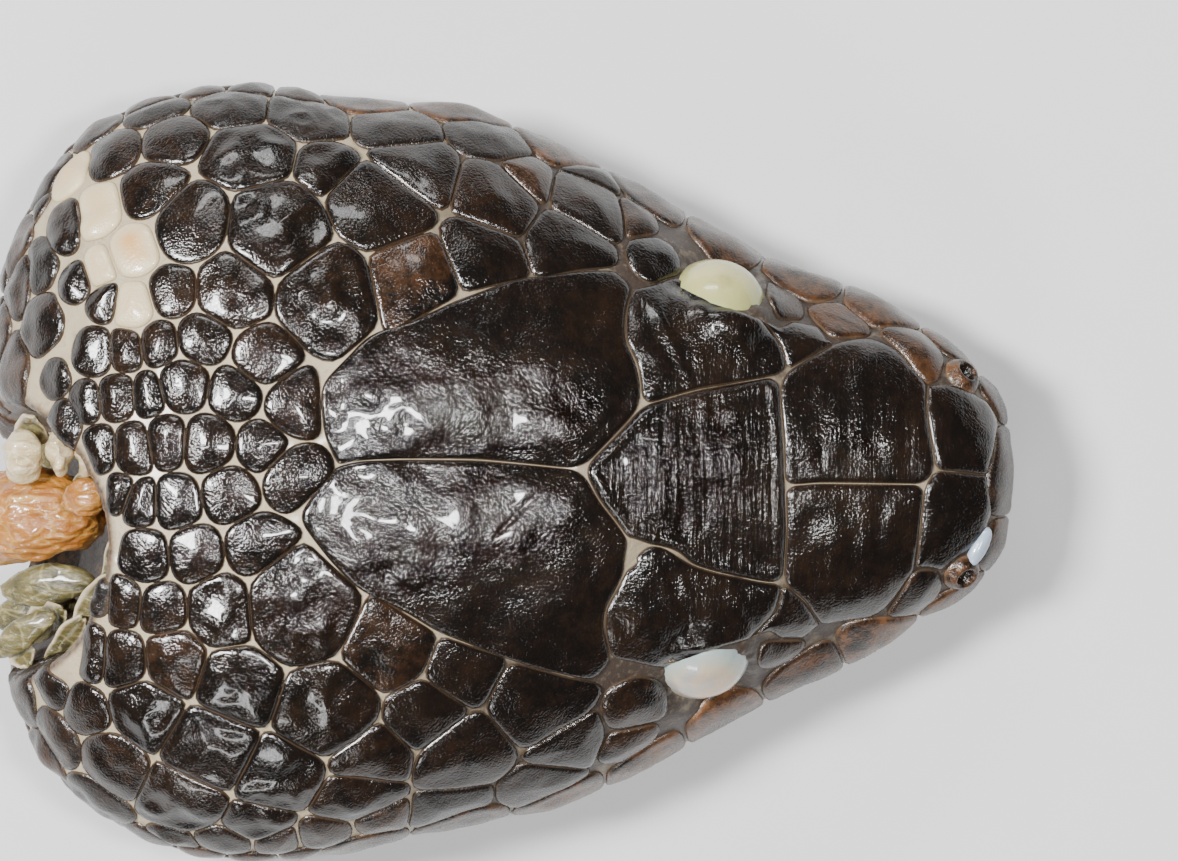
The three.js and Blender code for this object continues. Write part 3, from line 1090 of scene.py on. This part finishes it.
def make_throat_shield(points):
    """One of the chin's shields or belly's scales, flatter and paler than the crown's."""
    down = Vector((0, 0, -1))
    outline = shield_outline(points, 0.0)
    outline.reverse()
    outline = drawn_in(outline, down, THROAT_SEAM * MM)
    bm = scale_mesh()
    marks = {"cream": 0.35, "warm": 0.5, "clings": False}
    lay_scale(bm, outline, down, rings=12, thickness=0.14, bulge=0.04, marks=marks)
    return bm


# ---------------------------------------------------------------- the nose


def nostril_ring(side):
    """The edge of a nostril's shield, and the way it faces."""
    x, z, radius = NOSTRIL
    place, normal = find_on_skin(spot(x, side * 30, z), Vector((0, -side, 0)))
    facing = average_facing(place, normal, radius)
    return ring(place, facing, radius, radius), facing


def ring(place, facing, length, width):
    """An oval's edge, anticlockwise seen from outside, its length level; both sizes are radii in mm."""
    level = Vector((0, 0, 1)).cross(facing).normalized()
    across = facing.cross(level)
    turns = [2 * math.pi * step / OUTLINE_POINTS for step in range(OUTLINE_POINTS)]
    return [place + (level * math.cos(a) * length + across * math.sin(a) * width) * MM for a in turns]


NOSTRIL_WARMTH = 1.3  # how brown the ring round a nostril is; its pit is dark


def make_nostril(side):
    """A shield that swells to a ring round the nostril's dark pit."""
    outline, facing = nostril_ring(side)
    lip, pit = 0.42, 0.68  # mm in from the edge

    def relief(place, inside):
        return 0.2 * hump(inside - lip, 0.2) - 0.3 * smooth_step(lip + 0.05, pit, inside)

    bm = scale_mesh()
    marks = {"warm": NOSTRIL_WARMTH}
    lay_scale(bm, outline, facing, rings=14, thickness=0.26, bulge=0.0, marks=marks, relief=relief)
    rim, warm = bm.verts.layers.float["rim"], bm.verts.layers.float["warm"]
    for vertex in bm.verts:
        vertex[warm] = NOSTRIL_WARMTH * smooth_step(pit, lip, vertex[rim])
    return bm


def make_film():
    """A dried bluish film on the right of the snout tip, above the nostril."""
    place, normal = find_on_skin(spot(21.9, -3.4, 40), Vector((0, 0, -1)))
    facing = average_facing(place, normal, 0.6)
    bm = scale_mesh()
    outline = ring(place, facing, length=1.0, width=0.42)
    lay_scale(bm, outline, facing, rings=8, thickness=0.44, bulge=0.04, marks={})
    return bm


# ---------------------------------------------------------------- eyes and the torn neck


def make_eye(node):
    """A clouded dome: a ball a little fuller where it looks out, marked with where its pupil was."""
    bm = bmesh.new()
    centre, radius = eye_centre(node), eye_radius(node)
    bmesh.ops.create_icosphere(bm, subdivisions=5, radius=radius, matrix=Matrix.Translation(centre))
    pupil = bm.verts.layers.float.new("pupil")
    axis = gaze(node)
    for vertex in bm.verts:
        out = (vertex.co - centre).normalized()
        facing = out.dot(axis)
        swell = 1.0 + 0.035 * smooth_step(0.2, 0.9, facing) + 0.006 * noise.noise(out * 2.5)
        vertex.co = centre + out * radius * swell
        vertex[pupil] = smooth_step(0.6, 0.95, facing)
    return bm


# Torn sheets that bridge from the skin's cut edge into the hollow: start, end and width, mm.
FASCIA = [
    ((-15.9, -2.3, 12.9), (-16.9, -4.9, 10.8), 0.9), ((-16.5, -4.6, 11.4), (-18.2, -6.9, 9.3), 1.1),
    ((-17.9, -6.6, 10.0), (-19.7, -8.7, 7.4), 1.1), ((-16.4, 0.2, 12.4), (-18.3, -0.6, 9.8), 1.0),
    ((-19.9, 2.2, 10.6), (-20.8, 0.9, 8.4), 1.6), ((-17.2, 1.6, 12.0), (-19.2, 0.7, 9.4), 1.3),
    ((-20.4, -8.6, 8.0), (-21.6, -7.4, 5.6), 1.2), ((-18.9, -6.2, 7.6), (-21.0, -7.6, 5.6), 1.7),
    ((-18.6, 0.9, 7.0), (-21.3, 0.6, 5.4), 2.0),
]


def make_fascia():
    """Thin ragged sheets, each a strip that sags between its ends and frays at its sides."""
    bm = bmesh.new()
    edge = bm.verts.layers.float.new("edge")
    for number, (start, end, width) in enumerate(FASCIA):
        before = set(bm.verts)
        bmesh.ops.create_grid(bm, x_segments=22, y_segments=8, size=0.5)
        start, end = Vector(start), Vector(end)
        along = end - start
        side = along.cross(Vector((0, 0, 1))).normalized()
        over = side.cross(along).normalized()
        for vertex in [vertex for vertex in bm.verts if vertex not in before]:
            u, v = vertex.co.x + 0.5, vertex.co.y
            fray = 1 + 0.3 * noise.noise(Vector((u * 3, number * 3.7, math.copysign(2.0, v))))
            waist = math.sin(math.pi * (0.04 + 0.9 * u)) ** 0.7
            sag = 0.35 * math.sin(math.pi * u) + 0.22 * noise.noise(Vector((u * 4, v * 5, number)))
            point = start + along * u + side * (v * width * waist * fray) - over * sag
            vertex.co = spot(*point)
            vertex[edge] = abs(v) * 2
    bmesh.ops.recalc_face_normals(bm, faces=bm.faces)
    bmesh.ops.solidify(bm, geom=bm.faces[:], thickness=FASCIA_THICKNESS * MM)
    relax(bm, 1)
    return bm


FASCIA_THICKNESS = 0.14  # mm
TISSUE_GRID = 0.12  # mm, the width of the little squares that a tissue is made of

# Each tissue: its material, lump depth in mm, how tight its strands are, its swelling and its nodes.
FLESH = {
    "neck_muscle": ("muscle", 0.2, 1.3, 1.12, ["neck_muscle_main", "neck_muscle_small"]),
    "upper_membrane": ("membrane", 0.1, 0.7, 1.0, ["membrane_upper"]),
    "middle_membrane": ("membrane", 0.1, 0.7, 1.0, ["membrane_middle"]),
    "lower_membrane": ("membrane", 0.1, 0.7, 1.0, ["membrane_lower"]),
    "fat_lobes": ("fat", 0.3, 0.55, 1.5, ["fat_lobe_outer", "fat_lobe_middle", "fat_lobe_inner"]),
}


def make_flesh(nodes, lump, scale, swelling):
    """Tissue on its solids' forms, run together, with lumps and strands along its length."""
    bm = bmesh.new()
    for node in nodes:
        part = node_surface(node)
        low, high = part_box(node)
        middle = Matrix.Translation(-(low + high) / 2)
        bmesh.ops.scale(part, vec=(1.0, swelling, swelling), space=middle, verts=part.verts)
        mesh = bpy.data.meshes.new(node)
        part.to_mesh(mesh)
        part.free()
        bm.from_mesh(mesh)
        bpy.data.meshes.remove(mesh)
    bm = even_grid(bm, TISSUE_GRID * MM)
    relax(bm, 10)
    bm.normal_update()
    for vertex, normal in [(vertex, vertex.normal.copy()) for vertex in bm.verts]:
        point = drawn(vertex.co)
        strand = Vector((point.x * 0.35, point.y * 1.5, point.z * 1.5)) * scale
        rise = noise.noise(strand * 1.3) + 0.5 * noise.noise(strand * 3.1)
        rise += 0.4 * noise.noise(point * 1.1)
        vertex.co += normal * (rise * lump) * MM
    return bm


# Each tissue's finish: its deeper colour, its stripes, how fine its fibres are and how wet it is.
FLESH_FINISHES = {
    "muscle": ((0.24, 0.08, 0.014), (0.45, 0.27, 0.075), 1.1, 0.85),
    "membrane": ((0.035, 0.03, 0.012), (0.28, 0.24, 0.11), 1.6, 0.6),
    "fat": ((0.46, 0.32, 0.15), (0.64, 0.56, 0.4), 1.2, 0.8),
}


def flesh_materials(colours):
    """The finishes of the cut neck's tissues, by kind."""
    looks = {}
    for kind, finish in FLESH_FINISHES.items():
        looks[kind] = flesh_look(kind.capitalize(), tuple(getattr(colours, kind)), *finish)
    return looks


# ---------------------------------------------------------------- the add-on


def swatch(name, description, default):
    return FloatVectorProperty(
        name=name, description=description, default=default, subtype="COLOR", min=0.0, max=1.0, size=3
    )


def size_mm(name, description, default):
    return FloatProperty(name=name, description=description, default=default, min=0.0)


class SnakeSizes(PropertyGroup):
    skin_grid: size_mm("Skin grid", "Width of the little squares the skin is made of, mm", 0.3)
    shield_thickness: size_mm("Shield thickness", "How far a crown shield stands out, mm", 0.2)
    crown_seam: size_mm("Crown seam", "Half the width of the seams between crown shields, mm", 0.0)
    scale_thickness: size_mm("Scale thickness", "How far a small scale stands out, mm", 0.2)


class SnakeColours(PropertyGroup):
    horn: swatch("Horn", "The dark of the shields", (0.0042, 0.0032, 0.0027))
    brown: swatch("Brown", "The brown that shows through the horn", (0.017, 0.0095, 0.0058))
    lip: swatch("Lip", "The warm brown of the lips", (0.11, 0.047, 0.018))
    cream: swatch("Cream", "The pale scales of the nape", (0.5, 0.41, 0.25))
    amber: swatch("Amber", "The orange middle of a pale scale", (0.5, 0.25, 0.07))
    seam: swatch("Seam", "The skin between the scales", (0.33, 0.27, 0.175))
    muscle: swatch("Muscle", "The cut neck muscle", (0.33, 0.135, 0.02))
    membrane: swatch("Membrane", "The torn olive tissue", (0.12, 0.1, 0.035))
    fat: swatch("Fat", "The pale lobes at the cut edge", (0.46, 0.38, 0.22))
    wrinkles: size_mm("Wrinkle depth", "Depth of the finest wrinkles in the horn, mm", 0.04)


def horn_material():
    if "horn" not in store:
        store["horn"] = keratin_look(bpy.context.scene.snake_colours)
    return store["horn"]


class SNAKE_OT_skin(Operator):
    """Make the skin that shows between the scales"""

    bl_idname = "snake.skin"
    bl_label = "Skin"

    def execute(self, context):
        store["sizes"] = context.scene.snake_sizes
        bm = make_skin()
        store["skin"] = BVHTree.FromBMesh(bm)
        skin = link("skin", bm, seam_look(context.scene.snake_colours))
        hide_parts("head")
        return {"FINISHED"}


class SNAKE_OT_crown(Operator):
    """Lay the large shields of the crown"""

    bl_idname = "snake.crown"
    bl_label = "Crown Shields"

    def execute(self, context):
        for name in CROWN_SHIELDS:
            link(name, make_shield(name, context.scene.snake_sizes), horn_material())
        return {"FINISHED"}


class SNAKE_OT_scales(Operator):
    """Lay the small scales of the nape, temples, lips, nose, cheeks and throat"""

    bl_idname = "snake.scales"
    bl_label = "Small Scales"

    def execute(self, context):
        for family in FAMILIES:
            link(family, grow_scales(family), horn_material())
        return {"FINISHED"}


class SNAKE_OT_throat(Operator):
    """Lay the chin shields and the broad belly scales"""

    bl_idname = "snake.throat"
    bl_label = "Chin and Belly"

    def execute(self, context):
        for name, points in throat_outlines().items():
            link(name, make_throat_shield(points), horn_material())
        return {"FINISHED"}


class SNAKE_OT_eyes(Operator):
    """Set the clouded eyes in their lids"""

    bl_idname = "snake.eyes"
    bl_label = "Eyes"

    def execute(self, context):
        looks = {
            "left_eye": eye_look("Left eye", (0.33, 0.33, 0.13), (0.42, 0.39, 0.17), (0.22, 0.22, 0.08)),
            "right_eye": eye_look("Right eye", (0.27, 0.32, 0.3), (0.42, 0.3, 0.18), (0.18, 0.24, 0.3)),
        }
        for node, look in looks.items():
            eye = link(node + "_dome", make_eye(node), look)
            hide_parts(node)
        return {"FINISHED"}


class SNAKE_OT_nose(Operator):
    """Open the nostrils in their shields, and lay the dried film by the right one"""

    bl_idname = "snake.nose"
    bl_label = "Nose"

    def execute(self, context):
        for side, name in ((1, "left_nostril"), (-1, "right_nostril")):
            link(name, make_nostril(side), horn_material())
        film = eye_look("Dried film", (0.3, 0.36, 0.44), (0.4, 0.46, 0.52), (0.2, 0.25, 0.32))
        link("dried_film", make_film(), film)
        return {"FINISHED"}


class SNAKE_OT_neck(Operator):
    """Fill the cut neck with its muscle, membranes and fat lobes"""

    bl_idname = "snake.neck"
    bl_label = "Cut Neck"

    def execute(self, context):
        looks = flesh_materials(context.scene.snake_colours)
        for name, (kind, lump, scale, swelling, nodes) in FLESH.items():
            bm = make_flesh(nodes, lump, scale, swelling)
            piece = link(name + "_tissue", bm, looks[kind])
            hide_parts(*nodes)
        link("torn_fascia", make_fascia(), looks["membrane"])
        return {"FINISHED"}


BOARD_REACH = 0.6  # metres from the board's middle to its edges
LIGHTS = {  # place and size in metres, and power in watts
    "overhead": ((-0.3, 0.07, 0.5), (0.11, 0.13), 8.5),
    "front": ((0.12, 0.0, 0.55), (0.05, 0.09), 3.0),
    "left": ((-0.03, 0.36, 0.25), (0.2, 0.06), 0.7),
    "right": ((-0.08, -0.34, 0.28), (0.16, 0.06), 0.7),
}
DAYLIGHT = (0.9, 0.93, 1.0, 1.0)
DAYLIGHT_STRENGTH = 0.045
LENS = 300.0  # mm; long, so that the sides hardly show
FILM_WIDTH = 36.0  # mm
VIEW_WIDTH = 52.4  # mm across the view, at the height of VIEW_CENTRE
VIEW_CENTRE = (4.55, 1.75, 8.0)


def lay_board():
    """The pale board, just under the specimen's lowest place."""
    bm = bmesh.new()
    bmesh.ops.create_grid(bm, x_segments=4, y_segments=4, size=BOARD_REACH)
    mesh = bpy.data.meshes.new("board")
    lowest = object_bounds()[0].z
    bmesh.ops.translate(bm, vec=(0, 0, lowest - 0.01 * MM), verts=bm.verts)
    bm.to_mesh(mesh)
    bm.free()
    board = bpy.data.objects.new("board", mesh)
    mesh.materials.append(floor_look())
    bpy.context.scene.collection.objects.link(board)
    board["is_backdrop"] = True


def area_light(name, place, size, power, target):
    """A soft light of the given width and height in metres and power in watts, aimed at the target."""
    data = bpy.data.lights.new(name, "AREA")
    data.shape = "RECTANGLE"
    data.size, data.size_y = size
    data.energy = power
    lamp = bpy.data.objects.new(name, data)
    lamp.location = place
    lamp.rotation_mode = "QUATERNION"
    lamp.rotation_quaternion = (target - Vector(place)).to_track_quat("-Z", "Y")
    bpy.context.scene.collection.objects.link(lamp)


def light_room():
    """The lights, aimed at the crown, and a faint daylight from all round."""
    for name, (place, size, power) in LIGHTS.items():
        area_light(name, place, size, power, target=spot(0.0, 0.0, 10.0))
    world = bpy.data.worlds.new("Studio")
    world.use_nodes = True
    background = world.node_tree.nodes["Background"]
    background.inputs["Color"].default_value = DAYLIGHT
    background.inputs["Strength"].default_value = DAYLIGHT_STRENGTH
    bpy.context.scene.world = world


def set_camera():
    """A camera that looks straight down, far enough off to take in the width of the view."""
    data = bpy.data.cameras.new("camera")
    data.lens = LENS
    data.sensor_width = FILM_WIDTH
    distance = VIEW_WIDTH * MM * data.lens / data.sensor_width
    camera = bpy.data.objects.new("camera", data)
    camera.location = spot(*VIEW_CENTRE) + Vector((0, 0, distance))
    data.clip_start, data.clip_end = 0.01, 10.0
    bpy.context.scene.collection.objects.link(camera)
    bpy.context.scene.camera = camera


class SNAKE_OT_stage(Operator):
    """Set the board, the lights and the camera, which looks straight down"""

    bl_idname = "snake.stage"
    bl_label = "Stage"

    def execute(self, context):
        lay_board()
        light_room()
        set_camera()
        return {"FINISHED"}


class SNAKE_PT_panel(Panel):
    """The specimen's makers, in order"""

    bl_label = "Preserved Snake Head"
    bl_space_type = "VIEW_3D"
    bl_region_type = "UI"
    bl_category = "Snake Head"

    def draw(self, context):
        for group in (context.scene.snake_sizes, context.scene.snake_colours):
            for key in group.__annotations__:
                self.layout.prop(group, key)
        for maker in MAKERS:
            self.layout.operator(maker.bl_idname)


MAKERS = (
    SNAKE_OT_skin, SNAKE_OT_crown, SNAKE_OT_scales, SNAKE_OT_throat, SNAKE_OT_nose, SNAKE_OT_eyes,
    SNAKE_OT_neck, SNAKE_OT_stage,
)
CLASSES = (SnakeSizes, SnakeColours, *MAKERS, SNAKE_PT_panel)


def register():
    for part in CLASSES:
        bpy.utils.register_class(part)
    bpy.types.Scene.snake_sizes = PointerProperty(type=SnakeSizes)
    bpy.types.Scene.snake_colours = PointerProperty(type=SnakeColours)


def unregister():
    del bpy.types.Scene.snake_colours
    del bpy.types.Scene.snake_sizes
    for part in reversed(CLASSES):
        bpy.utils.unregister_class(part)


def main():
    register()
    bpy.ops.snake.skin()
    bpy.ops.snake.crown()
    bpy.ops.snake.scales()
    bpy.ops.snake.throat()
    bpy.ops.snake.nose()
    bpy.ops.snake.eyes()
    bpy.ops.snake.neck()
    bpy.ops.snake.stage()


if __name__ == "__main__":
    main()
